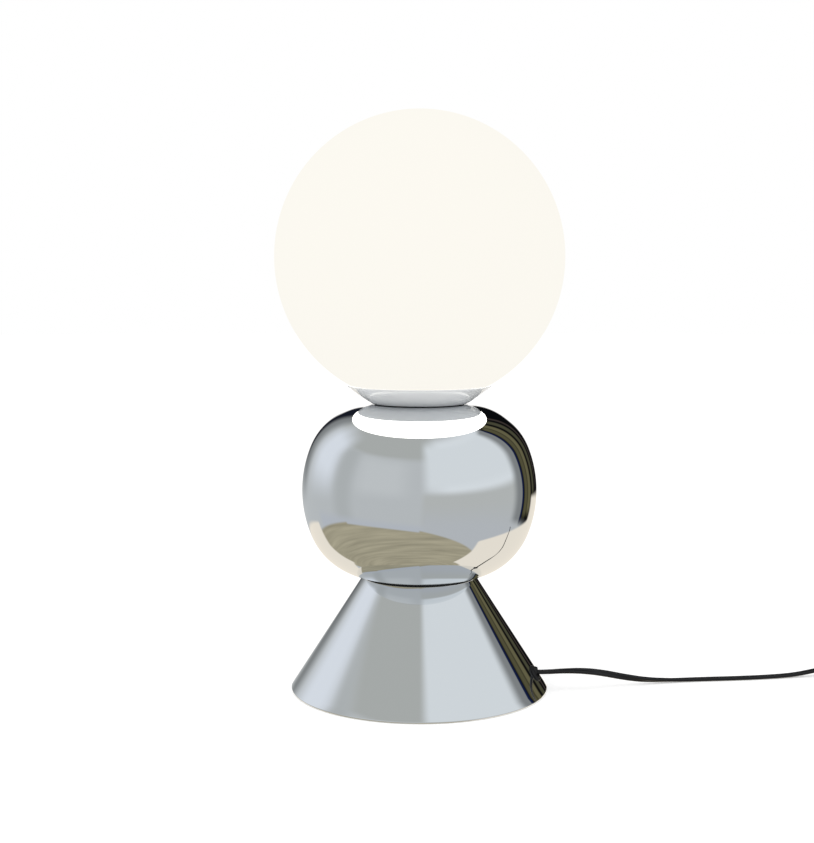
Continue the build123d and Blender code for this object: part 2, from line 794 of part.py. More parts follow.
with BuildPart() as cord_coil:
    with BuildLine() as coil_line:
        Line(coil_stop(0) + Vector(0, cord_diameter, 0), coil_stop(0))
        for step in range(len(coil_radii) - 1):
            start = coil_stop(step)
            end = coil_stop(step + 1)
            half_way = (start + end) / 2
            reach = (end - start).length / 2
            side = -1 if step % 2 == 0 else 1
            ThreePointArc(start, half_way + Vector(0, side * reach, 0), end)
        last = coil_stop(len(coil_radii) - 1)
        last_radius = coil_radii[-1] + coil_pitch / 4
        last_centre = last - Vector(last_radius, 0, 0)
        bend = last_radius * sqrt(0.5)
        coil_end = last_centre + Vector(0, -last_radius, 0)
        ThreePointArc(last, last_centre + Vector(bend, -bend, 0), coil_end)
        Line(coil_end, coil_end - Vector(cord_diameter, 0, 0))
    coil_path = coil_line.wires()[0]
    with BuildSketch(facing(coil_path @ 0, coil_path % 0, (0, 0, 1))):
        Circle(cord_radius)
    sweep(path=coil_path)
coil_length = coil_path.length
report_tube("cord_coil", cord_coil, coil_length, [min(coil_radii), max(coil_radii)])


def least_gap(line, samples=900, apart=45.0):
    """Least free space between parts of a wound line that lie some way apart along it."""
    step = line.length / samples
    points = [line @ (i / samples) for i in range(samples + 1)]
    skip = int(apart / step) + 1
    nearest = min(
        (points[i] - points[j]).length
        for i in range(0, samples + 1, 2)
        for j in range(i + skip, samples + 1)
    )
    return nearest - cord_diameter


print(f"cord_coil: least gap to itself {least_gap(coil_path):.2f}")

with BuildPart() as coil_tie:
    inner_turn = coil_radii[coil_half_turns_in]
    inner_bow = inner_turn - sqrt(inner_turn**2 - (tie_width / 2) ** 2)
    tie_inner = inner_turn - inner_bow - cord_radius - 2 * tie_fit
    tie_outer = coil_start_radius + cord_radius + 2 * tie_fit
    tie_middle = coil_x - (tie_inner + tie_outer) / 2
    tie_bottom = tie_sheet
    tie_top = coil_high + cord_radius + tie_fit
    tie_height = tie_top - tie_bottom
    with BuildSketch(upright(tie_middle, coil_y, (tie_bottom + tie_top) / 2)):
        RectangleRounded(tie_outer - tie_inner + 2 * tie_sheet, tie_height + 2 * tie_sheet, 2.4)
        RectangleRounded(tie_outer - tie_inner, tie_height, 1.8, mode=Mode.SUBTRACT)
    extrude(amount=tie_width / 2, both=True)

# ---------------------------------------------------------------- plug
plug_axis = plug_thickness / 2
plug_start_x = coil_end.X - cord_diameter - plug_lead_span
plug_y = coil_end.Y
plug_back_x = plug_start_x - plug_strain_length
plug_face_x = plug_back_x - plug_body_length

lead_route = [
    tuple(coil_end - Vector(cord_diameter, 0, 0)),
    (plug_start_x + plug_lead_span * 2 / 3, plug_y, coil_high),
    (plug_start_x + plug_lead_span / 3, plug_y, plug_axis),
    (plug_start_x, plug_y, plug_axis),
]
lead_radii = corner_radii(lead_route)

with BuildPart() as plug_lead:
    lead_length = tube(lead_route, cord_radius, lead_radii)
report_tube("plug_lead", plug_lead, lead_length, lead_radii)

with BuildPart() as plug_body:
    with BuildSketch(Plane.XY):
        with BuildLine():
            Polyline(
                (plug_back_x, plug_y - plug_back_width / 2),
                (plug_face_x + plug_face_length, plug_y - plug_width / 2),
                (plug_face_x, plug_y - plug_width / 2),
                (plug_face_x, plug_y + plug_width / 2),
                (plug_face_x + plug_face_length, plug_y + plug_width / 2),
                (plug_back_x, plug_y + plug_back_width / 2),
                close=True,
            )
        make_face()
    extrude(amount=plug_thickness)
    fillet(plug_body.edges().filter_by(Axis.Z), radius=3)
    fillet(plug_body.edges().group_by(Axis.Z)[-1], radius=2)
    fillet(plug_body.edges().group_by(Axis.Z)[0], radius=2)
    strain_plane = facing(Vector(plug_start_x, plug_y, plug_axis), (-1, 0, 0), (0, 0, 1))
    with BuildSketch(strain_plane) as strain_end:
        Circle(cord_radius + 0.9)
    with BuildSketch(strain_plane.offset(plug_strain_length + 2)) as strain_root:
        Circle(plug_strain_radius + 0.9)
    loft()
    with BuildSketch(facing(Vector(plug_face_x, plug_y, plug_axis), (-1, 0, 0), (0, 1, 0))):
        with Locations((-pin_spacing / 2, 0), (pin_spacing / 2, 0)):
            Circle(pin_sleeve_radius)
    extrude(amount=pin_sleeve)

with BuildPart() as plug_pins:
    tip_plane = facing(Vector(plug_face_x - pin_sleeve, plug_y, plug_axis), (-1, 0, 0), (0, 1, 0))
    with BuildSketch(tip_plane):
        with Locations((-pin_spacing / 2, 0), (pin_spacing / 2, 0)):
            Circle(pin_radius)
    extrude(amount=pin_length - pin_sleeve)
    fillet(plug_pins.edges().group_by(Axis.X)[0], radius=1.2)


# ---------------------------------------------------------------- switch
def switch_plane(z):
    """Horizontal plane through the switch's middle at height z."""
    return Plane((switch_x, switch_y, z))


switch_top = switch_base_height + switch_cover_height
inner_length_x = switch_length - 2 * switch_wall
inner_width = switch_width - 2 * switch_wall
screw_places = [(switch_screw_x, -switch_screw_side), (-switch_screw_x, -switch_screw_side)]
entry_plane = facing(Vector(switch_x - switch_length, switch_y, switch_base_height), (1, 0, 0), (0, 0, 1))

with BuildPart() as switch_base:
    with BuildSketch(switch_plane(0)):
        RectangleRounded(switch_length, switch_width, switch_corner)
    extrude(amount=switch_base_height)
    fillet(switch_base.edges().group_by(Axis.Z)[0], radius=1.2)
    with BuildSketch(switch_plane(switch_wall)):
        RectangleRounded(inner_length_x, inner_width, switch_corner - switch_wall)
    extrude(amount=switch_base_height, mode=Mode.SUBTRACT)
    with BuildSketch(switch_plane(switch_wall)):
        with Locations(*screw_places):
            Circle(2.7)
    extrude(amount=switch_base_height - switch_wall)
    with BuildSketch(switch_plane(0)):
        with Locations(*screw_places):
            Circle(switch_screw_radius + 0.2)
    extrude(amount=switch_base_height, mode=Mode.SUBTRACT)
    with BuildSketch(switch_plane(0)):
        with Locations(*screw_places):
            Circle(2.6)
    extrude(amount=2.2, mode=Mode.SUBTRACT)
    with BuildSketch(entry_plane):
        Circle(cord_radius + cord_fit)
    extrude(amount=2 * switch_length, mode=Mode.SUBTRACT)

opening_length = rocker_length + 2 * rocker_gap + 2 * rocker_rise * sin(radians(rocker_tilt))
opening_width = rocker_width + 2 * rocker_gap
cheek_side = opening_width / 2 + cheek_thickness / 2

with BuildPart() as switch_cover:
    with BuildSketch(switch_plane(switch_base_height)):
        RectangleRounded(switch_length, switch_width, switch_corner)
    extrude(amount=switch_cover_height)
    fillet(switch_cover.edges().group_by(Axis.Z)[-1], radius=2.4)
    with BuildSketch(switch_plane(switch_base_height)):
        RectangleRounded(inner_length_x, inner_width, switch_corner - switch_wall)
    extrude(amount=switch_cover_height - switch_wall, mode=Mode.SUBTRACT)
    with BuildSketch(switch_plane(rocker_pivot_height - 3)):
        with Locations((0, -cheek_side), (0, cheek_side)):
            Rectangle(10, cheek_thickness)
    extrude(amount=switch_top - switch_wall - rocker_pivot_height + 3)
    with BuildSketch(switch_plane(switch_base_height)):
        with Locations(*screw_places):
            Circle(2.7)
    extrude(amount=switch_cover_height - switch_wall)
    with BuildSketch(switch_plane(switch_base_height)):
        with Locations(*screw_places):
            Circle(switch_screw_radius + thread_clearance)
    extrude(amount=6, mode=Mode.SUBTRACT)
    with BuildSketch(switch_plane(switch_base_height)):
        Rectangle(opening_length, opening_width)
    extrude(amount=switch_cover_height + 1, mode=Mode.SUBTRACT)
    with BuildSketch(upright(switch_x, switch_y, rocker_pivot_height)):
        Circle(trunnion_radius + trunnion_fit)
    extrude(amount=opening_width / 2 + cheek_thickness - 0.2, both=True, mode=Mode.SUBTRACT)
    with BuildSketch(entry_plane):
        Circle(cord_radius + cord_fit)
    extrude(amount=2 * switch_length, mode=Mode.SUBTRACT)

rocker_plane = Plane(
    (switch_x, switch_y, rocker_pivot_height),
    x_dir=(cos(radians(rocker_tilt)), 0, sin(radians(rocker_tilt))),
    z_dir=(0, -1, 0),
)

with BuildPart() as switch_rocker:
    with BuildSketch(rocker_plane):
        with BuildLine():
            half = rocker_length / 2
            ThreePointArc((-half, rocker_rise), (0, rocker_rise - 1.1), (half, rocker_rise))
            Line((half, rocker_rise), (half, rocker_rise - 3))
            Line((half, rocker_rise - 3), (half / 2, -rocker_depth))
            Line((half / 2, -rocker_depth), (-half / 2, -rocker_depth))
            Line((-half / 2, -rocker_depth), (-half, rocker_rise - 3))
            Line((-half, rocker_rise - 3), (-half, rocker_rise))
        make_face()
    extrude(amount=rocker_width / 2, both=True)
    fillet(switch_rocker.edges().filter_by(Axis.Y).group_by(Axis.Z)[-1], radius=0.5)
    with BuildSketch(rocker_plane):
        Circle(trunnion_radius)
    extrude(amount=opening_width / 2 + cheek_thickness - 0.6, both=True)

with BuildPart() as switch_terminals:
    with BuildSketch(switch_plane(switch_wall)):
        with Locations((-terminal_spacing / 2, terminal_side), (terminal_spacing / 2, terminal_side)):
            Rectangle(terminal_size[0], terminal_size[1])
    extrude(amount=terminal_size[2])

with BuildPart() as switch_screws:
    with BuildSketch(switch_plane(1)):
        with Locations(*screw_places):
            Circle(2.4)
    extrude(amount=1.2)
    with BuildSketch(switch_plane(2.2)):
        with Locations(*screw_places):
            Circle(switch_screw_radius)
    extrude(amount=switch_base_height + 5 - 2.2)

wire_end = switch_length / 2 - switch_cord_grip
wire_offset = 1.4
block_face = terminal_spacing / 2 + terminal_size[0] / 2
wire_level = switch_wall + 3.0


def switch_point(x, y, z):
    """Point given from the switch's middle on the table."""
    return (switch_x + x, switch_y + y, z)


with BuildPart() as switch_wires:
    through_wire = [
        switch_point(-wire_end, wire_offset, switch_base_height),
        switch_point(-wire_end + 5, wire_offset, switch_base_height),
        switch_point(-wire_end + 12, 8, wire_level),
        switch_point(wire_end - 12, 8, wire_level),
        switch_point(wire_end - 5, wire_offset, switch_base_height),
        switch_point(wire_end, wire_offset, switch_base_height),
    ]
    tube(through_wire, wire_radius, (3, 4, 4, 3))
    for side in (-1, 1):
        live_wire = [
            switch_point(side * wire_end, -wire_offset, switch_base_height),
            switch_point(side * (wire_end - 4), -wire_offset, switch_base_height),
            switch_point(side * (block_face + 3), terminal_side, wire_level),
            switch_point(side * block_face, terminal_side, wire_level),
        ]
        tube(live_wire, wire_radius, (2.5, 1.5))

total_length = cord_length + link_length + coil_length + lead_length + 2 * wire_end
print(f"cord from lamp to plug {total_length:.0f}")

# ---------------------------------------------------------------- files, one for each sub-part
pieces = {
    "base_pad": base_pad,
    "base_weight": base_weight,
    "base_cone": base_cone,
    "cord_bushing": cord_bushing,
    "cord_clamp": cord_clamp,
    "clamp_screws": clamp_screws,
    "centre_rod": centre_rod,
    "rod_lower_washer": rod_lower_washer,
    "rod_lower_nut": rod_lower_nut,
    "rod_upper_nut": rod_upper_nut,
    "seat_gasket": seat_gasket,
    "body_shell": body_shell,
    "spacer_tube": spacer_tube,
    "cup_gasket": cup_gasket,
    "cup": cup,
    "globe_seat_ring": globe_seat_ring,
    "opal_globe": opal_globe,
    "globe_clip": globe_clip,
    "holder_cap": holder_cap,
    "holder_core": holder_core,
    "holder_terminals": holder_terminals,
    "holder_wires": holder_wires,
    "holder_screw_shell": holder_screw_shell,
    "holder_skirt": holder_skirt,
    "holder_contact": holder_contact,
    "bulb_contact": bulb_contact,
    "bulb_insulator": bulb_insulator,
    "bulb_cap": bulb_cap,
    "bulb_collar": bulb_collar,
    "bulb_dome": bulb_dome,
    "inner_flex": inner_flex,
    "cord": cord,
    "cord_link": cord_link,
    "cord_coil": cord_coil,
    "coil_tie": coil_tie,
    "plug_lead": plug_lead,
    "plug_body": plug_body,
    "plug_pins": plug_pins,
    "switch_base": switch_base,
    "switch_cover": switch_cover,
    "switch_rocker": switch_rocker,
    "switch_terminals": switch_terminals,
    "switch_screws": switch_screws,
    "switch_wires": switch_wires,
}
for label, piece in pieces.items():
    piece.part.label = label
    export_step(piece.part, f"parts/{label}.step")
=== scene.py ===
# %% [markdown]
# # Globe table lamp
# An opal glass globe stands in a shallow white dish, on a polished ball and a polished
# cone.  A black flat flex leaves low on the cone and runs to a switch and a plug.
# The CAD model is the frame: it fixes every size and place.  This notebook gives the
# lamp its smooth skins, its flex, its finishes and a plain studio.

import json
from math import asin, atan2, cos, degrees, pi, radians, sin, sqrt

import bmesh
import bpy
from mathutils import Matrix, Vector


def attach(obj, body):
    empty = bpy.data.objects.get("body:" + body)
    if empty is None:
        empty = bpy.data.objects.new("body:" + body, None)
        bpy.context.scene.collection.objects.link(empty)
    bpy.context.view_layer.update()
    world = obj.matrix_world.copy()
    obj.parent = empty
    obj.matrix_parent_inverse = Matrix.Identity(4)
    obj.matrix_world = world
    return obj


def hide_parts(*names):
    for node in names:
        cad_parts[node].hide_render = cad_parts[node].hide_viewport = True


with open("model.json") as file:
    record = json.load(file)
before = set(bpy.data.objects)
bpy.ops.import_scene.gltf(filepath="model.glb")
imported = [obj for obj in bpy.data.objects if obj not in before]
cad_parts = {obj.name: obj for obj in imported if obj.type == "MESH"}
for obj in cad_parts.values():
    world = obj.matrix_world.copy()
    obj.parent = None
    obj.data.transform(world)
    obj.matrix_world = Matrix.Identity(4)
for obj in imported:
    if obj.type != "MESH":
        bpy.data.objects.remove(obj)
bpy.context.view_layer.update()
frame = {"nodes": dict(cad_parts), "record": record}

# %% [markdown]
# ## Camera
# The lamp was seen from straight ahead, about 1.2 m away and 0.36 m up, so the lens
# looks down by some five and a half degrees.  A long lens keeps the globe round.  The
# lamp stands a little right of the middle, which a half degree of turn gives.

# %% Camera
camera_data = bpy.data.cameras.new("camera")
camera_data.lens = 60.61
camera_data.sensor_width = 36.0
camera = bpy.data.objects.new("camera", camera_data)
camera.location = (0.0, -1.2326, 0.3554)
camera.rotation_euler = (radians(90 - 5.55), 0.0, radians(0.505))
bpy.context.scene.collection.objects.link(camera)
bpy.context.scene.camera = camera
print("camera at", tuple(round(c, 3) for c in camera.location))

# %% [markdown]
# ## Small helpers
# Every piece here is one mesh object at the origin.  A helper turns a finished bmesh
# into such an object, puts it on its CAD body and hides the CAD parts it replaces.


# %% Helper that turns a bmesh into a piece
def piece_from(name, bm, body, replaces=(), smooth_angle=None):
    """Object from a bmesh: normals outward, smooth shading, riding on its body."""
    bmesh.ops.remove_doubles(bm, verts=bm.verts, dist=1e-7)
    bmesh.ops.recalc_face_normals(bm, faces=bm.faces)
    mesh = bpy.data.meshes.new(name)
    bm.to_mesh(mesh)
    bm.free()
    obj = bpy.data.objects.new(name, mesh)
    bpy.context.scene.collection.objects.link(obj)
    if smooth_angle is None:
        mesh.polygons.foreach_set("use_smooth", [True] * len(mesh.polygons))
    else:
        mesh.set_sharp_from_angle(angle=radians(smooth_angle))
    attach(obj, body)
    if replaces:
        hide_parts(*replaces)
    print(f"{name}: {len(mesh.polygons)} faces")
    return obj


# %% Helpers that draw and spin a profile
def pen_down(bm, radius, height):
    """First point of a profile in the plane y = 0."""
    return bm.verts.new((radius, 0, height))


def line_to(bm, point, radius, height, steps=1):
    """Straight profile edge, by extruding the last point."""
    start = point.co.copy()
    for step in range(1, steps + 1):
        made = bmesh.ops.extrude_vert_indiv(bm, verts=[point])
        point = made["verts"][0]
        point.co = start.lerp(Vector((radius, 0, height)), step / steps)
    return point


def arc_to(bm, point, centre, turn, steps):
    """Profile arc, by spinning the last point round a centre (radius, height) by degrees."""
    made = bmesh.ops.spin(
        bm,
        geom=[point],
        cent=(centre[0], 0, centre[1]),
        axis=(0, -1, 0),
        angle=radians(turn),
        steps=steps,
    )
    return next(g for g in made["geom_last"] if isinstance(g, bmesh.types.BMVert))


def turn_on_axis(bm, segments):
    """Spin the whole profile once round the lamp's axis."""
    bmesh.ops.spin(
        bm,
        geom=bm.verts[:] + bm.edges[:],
        cent=(0, 0, 0),
        axis=(0, 0, 1),
        angle=2 * pi,
        steps=segments,
        use_merge=True,
    )
    bmesh.ops.remove_doubles(bm, verts=bm.verts, dist=1e-6)


# %% [markdown]
# ## Sizes shared with the CAD model
# These are the few lengths that several pieces need, in metres.

# %% Sizes
cone_foot, cone_top = 0.0008, 0.0994
cone_bottom_radius, cone_top_radius = 0.1136, 0.0500
body_bottom, body_belt, body_top = 0.1004, 0.1759, 0.2514
body_radius, lower_shoulder, upper_shoulder = 0.1027, 0.0590, 0.0590
cup_bottom, cup_rim = 0.2520, 0.2665
globe_centre, globe_radius, globe_half_height = 0.3776, 0.1250, 0.1258
neck_end, neck_radius = 0.2546, 0.0380
hole = 0.0053
slope = atan2(cone_bottom_radius - cone_top_radius, cone_top - cone_foot)
print(f"cone half angle {degrees(slope):.1f} degrees")

# %% [markdown]
# ## The flex
# The flex is flat twin cable, two cores side by side, 5.8 mm wide and 3.4 mm thick.  It
# could be a round bevelled curve, but then it would lose its groove and its slow twist
# from lying flat to standing on edge.  So a profile of two lobes is swept along a NURBS
# line with a tilt at each point, and the points along the line's middle are kept.

# %% Profile of the flex
core_radius, core_offset = 0.00170, 0.00120


def flex_profile():
    """Closed outline of two round cores that run into each other."""
    curve = bpy.data.curves.new("flex_profile", "CURVE")
    curve.dimensions = "2D"
    meet = 180 - degrees(asin(sqrt(1 - (core_offset / core_radius) ** 2)))
    spline = curve.splines.new("POLY")
    steps = 11
    spline.points.add(2 * steps - 1)
    for side in (0, 1):
        for i in range(steps):
            a = radians(-meet + 0.03 * meet + (2 * meet - 0.06 * meet) * i / (steps - 1) + 180 * side)
            x = core_radius * cos(a) + (core_offset if side == 0 else -core_offset)
            spline.points[side * steps + i].co = (x, core_radius * sin(a), 0, 1)
    spline.use_cyclic_u = True
    return bpy.data.objects.new("flex_profile", curve)


# %% Helper that lays a flex
def spline_curve(name, route, tilts, resolution):
    """NURBS line of order 3 through a route, with a tilt in degrees at each point."""
    curve = bpy.data.curves.new(name, "CURVE")
    curve.dimensions = "3D"
    curve.twist_mode = "Z_UP"
    curve.resolution_u = resolution
    spline = curve.splines.new("NURBS")
    spline.points.add(len(route) - 1)
    for point, place, tilt in zip(spline.points, route, tilts):
        point.co = (*place, 1)
        point.tilt = radians(tilt)
    spline.order_u = 3
    spline.use_endpoint_u = True
    return curve


def lay_flex(name, route, tilts, body, resolution=8):
    """Mesh of the flat flex along a route, and the points of its centreline."""
    scene = bpy.context.scene
    line = bpy.data.objects.new(name + "_line", spline_curve(name + "_line", route, tilts, resolution))
    scene.collection.objects.link(line)
    bpy.context.view_layer.update()
    centre = bpy.data.meshes.new_from_object(line.evaluated_get(bpy.context.evaluated_depsgraph_get()))
    path = [tuple(v.co) for v in centre.vertices]
    profile = flex_profile()
    scene.collection.objects.link(profile)
    line.data.bevel_mode = "OBJECT"
    line.data.bevel_object = profile
    line.data.use_fill_caps = True
    bpy.context.view_layer.update()
    mesh = bpy.data.meshes.new_from_object(line.evaluated_get(bpy.context.evaluated_depsgraph_get()))
    for used in (line, profile):
        bpy.data.objects.remove(used)
    bm = bmesh.new()
    bm.from_mesh(mesh)
    return piece_from(name, bm, body), path


# %% [markdown]
# ### From the lamp to the switch
# The flex comes straight out of the bushing, rises a little because it is stiff, and
# comes down to the table some ten centimetres away.  Its wide side is level at the
# bushing and has turned upright where it leaves the picture.

# %% Flex between lamp and switch
exit_turn = radians(-12)
exit_way = Vector((cos(exit_turn), sin(exit_turn), 0))
exit_height = 0.01839
lamp_route = [
    tuple(exit_way * 0.0992 + Vector((0, 0, exit_height))),
    (0.1068, -0.0227, 0.0186),
    (0.1280, -0.0230, 0.0201),
    (0.1460, -0.0175, 0.0184),
    (0.1630, -0.0095, 0.0142),
    (0.1800, -0.0020, 0.0090),
    (0.2000, 0.0055, 0.0042),
    (0.2240, 0.0115, 0.0022),
    (0.2520, 0.0160, 0.0018),
    (0.2820, 0.0190, 0.0018),
    (0.3120, 0.0235, 0.0018),
    (0.3400, 0.0295, 0.0022),
    (0.3630, 0.0334, 0.0060),
    (0.3790, 0.0340, 0.0080),
    (0.3910, 0.0340, 0.0080),
]
lamp_tilts = [0, 0, 10, 45, 75, 95, 130, 165, 180, 180, 180, 180, 180, 180, 180]
flex, flex_path = lay_flex("flex", lamp_route, lamp_tilts, "base", resolution=12)
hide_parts("cord")
switch_nodes = [
    "switch_base",
    "switch_cover",
    "switch_rocker",
    "switch_terminals",
    "switch_screws",
    "switch_wires",
]

# %% [markdown]
# ### The spare length and the plug
# What the picture doesn't show is wound into a tied coil beside the switch.  Flat flex
# bends easily only across its thin side, so in a coil it stands on edge.  Each half turn
# is a half circle between two points on the coil's middle line, six going in, one that
# climbs, and five going out again above.

# %% Flex between switch and plug
coil_x, coil_y = 0.4500, -0.0380
coil_start, coil_pitch = 0.0460, 0.0076
coil_low, coil_high = 0.00365, 0.00995
half_turn_radii = [coil_start - i * coil_pitch / 2 for i in range(7)]
half_turn_radii += [half_turn_radii[-1] + i * coil_pitch / 2 for i in range(6)]


def coil_points(per_half_turn=8):
    """Control points of the coil: the corners of a polygon drawn round each half circle."""
    points = []
    widen = 1 / cos(pi / per_half_turn / 2) ** 1.33
    for step in range(12):
        side = 1 if step % 2 == 0 else -1
        low = coil_low if step <= 6 else coil_high
        high = coil_low if step + 1 <= 6 else coil_high
        start_x = side * half_turn_radii[step]
        end_x = -side * half_turn_radii[step + 1]
        middle = (start_x + end_x) / 2
        radius = abs(start_x - end_x) / 2 * widen
        for i in range(per_half_turn):
            a = pi * (i + 0.5) / per_half_turn
            x = middle + side * radius * cos(a)
            y = -side * radius * sin(a)
            z = low + (high - low) * (i + 0.5) / per_half_turn
            points.append((coil_x + x, coil_y + y, z))
    return points


last_radius = half_turn_radii[-1] + coil_pitch / 4
last_middle = coil_x + half_turn_radii[-1] - last_radius
quarter = [
    (last_middle + last_radius * 1.03 * cos(a), coil_y - last_radius * 1.03 * sin(a), coil_high)
    for a in (radians(13), radians(38), radians(63))
]
plug_y = coil_y - last_radius
plug_lead_start = last_middle - 0.0058
plug_back = plug_lead_start - 0.0315
spare_route = [
    (0.4410, 0.0340, 0.0080),
    (0.4580, 0.0340, 0.0080),
    (0.4760, 0.0280, 0.0056),
    (0.4890, 0.0120, 0.00405),
    (0.4960, -0.0120, coil_low),
    *coil_points(),
    *quarter,
    (last_middle + 0.004, plug_y, coil_high),
    (plug_lead_start, plug_y, coil_high),
    (plug_back + 0.0210, plug_y, coil_high),
    (plug_back + 0.0105, plug_y, 0.00685),
    (plug_back, plug_y, 0.00685),
    (plug_back - 0.0100, plug_y, 0.00685),
]
spare_tilts = [0, 10, 40, 75] + [90] * (len(spare_route) - 8) + [60, 30, 0, 0]
spare, spare_path = lay_flex("spare_flex", spare_route, spare_tilts, "base", resolution=4)
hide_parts("cord_link", "cord_coil", "plug_lead")


# %% [markdown]
# ## Polished ball
# On the real lamp the ball is spun from sheet metal and plated.  Its outline isn't a
# circle: a belt that bulges round the axis runs into a tight lower shoulder, a wider
# upper one and two flat ends.  A mirror shows every facet, so the skin is turned again here with fine steps.

# %% Polished ball
def shoulder_place(shoulder_radius, half_height):
    """Reach, rise and angle in degrees of a shoulder's centre, seen from the ball's middle."""
    rise = half_height - shoulder_radius
    reach = sqrt((body_radius - shoulder_radius) ** 2 - rise**2)
    return reach, rise, degrees(atan2(rise, reach))


def ball_skin():
    """Closed skin of the ball with its wall, from the bore out along the outside and back inside."""
    bm = bmesh.new()
    wall = 0.0012
    low_reach, low_rise, low_angle = shoulder_place(lower_shoulder, body_belt - body_bottom)
    top_reach, top_rise, top_angle = shoulder_place(upper_shoulder, body_top - body_belt)
    low_centre = (low_reach, body_belt - low_rise)
    top_centre = (top_reach, body_belt + top_rise)
    middle = (0, body_belt)
    point = pen_down(bm, hole, body_bottom)
    point = line_to(bm, point, low_reach, body_bottom, 4)
    point = arc_to(bm, point, low_centre, 90 - low_angle, 40)
    point = arc_to(bm, point, middle, low_angle + top_angle, 44)
    point = arc_to(bm, point, top_centre, 90 - top_angle, 40)
    point = line_to(bm, point, hole, body_top, 4)
    point = line_to(bm, point, hole, body_top - wall)
    point = line_to(bm, point, top_reach, body_top - wall, 2)
    point = arc_to(bm, point, top_centre, top_angle - 90, 12)
    point = arc_to(bm, point, middle, -low_angle - top_angle, 12)
    point = arc_to(bm, point, low_centre, low_angle - 90, 12)
    point = line_to(bm, point, hole, body_bottom + wall, 2)
    line_to(bm, point, hole, body_bottom)
    turn_on_axis(bm, 240)
    return bm


ball = piece_from("ball", ball_skin(), "base", ["body_shell"], smooth_angle=40)

# %% [markdown]
# ## Polished cone
# The cone is spun too.  Its top edge is rounded where it meets the flat that carries the
# ball, and its foot is folded back on itself, which gives the thin dark line along the
# table.

# %% Polished cone
cone_sin, cone_cos = sin(slope), cos(slope)


def cone_skin():
    """Closed skin of the cone with a rolled foot."""
    bm = bmesh.new()
    wall, edge, roll = 0.0012, 0.0008, 0.0011
    corner = edge * (1 - cone_sin) / cone_cos
    point = pen_down(bm, hole, cone_top - wall)
    point = line_to(bm, point, hole, cone_top)
    point = line_to(bm, point, cone_top_radius - corner, cone_top, 3)
    point = arc_to(bm, point, (cone_top_radius - corner, cone_top - edge), -(90 - degrees(slope)), 8)
    side_end = Vector((cone_bottom_radius, 0, cone_foot)) + Vector((-cone_sin, 0, cone_cos)) * 0.0016
    point = line_to(bm, point, side_end.x, side_end.z, 24)
    centre = side_end + Vector((-cone_cos, 0, -cone_sin)) * roll
    point = arc_to(bm, point, (centre.x, centre.z), -150, 12)
    inner = Vector((cone_bottom_radius - wall / cone_cos, 0, cone_foot))
    inner = inner + Vector((-cone_sin, 0, cone_cos)) * 0.004
    point = line_to(bm, point, inner.x, inner.z)
    drop = cone_top - wall - inner.z
    point = line_to(bm, point, inner.x - drop * cone_sin / cone_cos, cone_top - wall, 12)
    line_to(bm, point, hole, cone_top - wall)
    turn_on_axis(bm, 240)
    return bm


cone = piece_from("cone", cone_skin(), "base", ["base_cone"], smooth_angle=40)

# %% [markdown]
# ## Dish
# A shallow steel dish holds the globe's neck.  It is enamelled white, so its rim is soft
# and its colour cool.

# %% Dish
cup_floor_radius, cup_rim_radius = 0.0416, 0.0622
cup_wall, cup_bulge, cup_corner = 0.0014, 0.0007, 0.0030


def dish_skin():
    """Dish with a flat floor, a rounded corner, a bowed side and a round rim."""
    bm = bmesh.new()
    side = Vector((cup_rim_radius - cup_floor_radius, 0, cup_rim - cup_bottom))
    chord = side.length
    bow = (chord * chord / 4 + cup_bulge * cup_bulge) / (2 * cup_bulge)
    outward = Vector((side.z, 0, -side.x)).normalized()
    centre = Vector((cup_floor_radius, 0, cup_bottom)) + side / 2 - outward * (bow - cup_bulge)
    corner_z = cup_bottom + cup_corner
    corner_x = centre.x + sqrt((bow - cup_corner) ** 2 - (corner_z - centre.z) ** 2)
    start = atan2(corner_z - centre.z, corner_x - centre.x)
    end = atan2(cup_rim - centre.z, cup_rim_radius - centre.x)
    turn = degrees(end - start)
    point = pen_down(bm, hole, cup_bottom)
    point = line_to(bm, point, corner_x, cup_bottom, 3)
    point = arc_to(bm, point, (corner_x, corner_z), 90 + degrees(start), 12)
    point = arc_to(bm, point, (centre.x, centre.z), turn, 20)
    rim_centre = point.co + (centre - point.co).normalized() * cup_wall / 2
    point = arc_to(bm, point, (rim_centre.x, rim_centre.z), 180, 8)
    point = arc_to(bm, point, (centre.x, centre.z), -turn, 20)
    point = arc_to(bm, point, (corner_x, corner_z), -90 - degrees(start), 8)
    point = line_to(bm, point, hole, cup_bottom + cup_wall, 3)
    line_to(bm, point, hole, cup_bottom)
    turn_on_axis(bm, 200)
    return bm


dish = piece_from("dish", dish_skin(), "base", ["cup"], smooth_angle=35)

# %% [markdown]
# ## Globe
# The globe is blown opal glass, 3 mm thick, with a short ground neck.  A sphere cut off
# below and drawn down into the neck gives the outside, and a second one the inside.


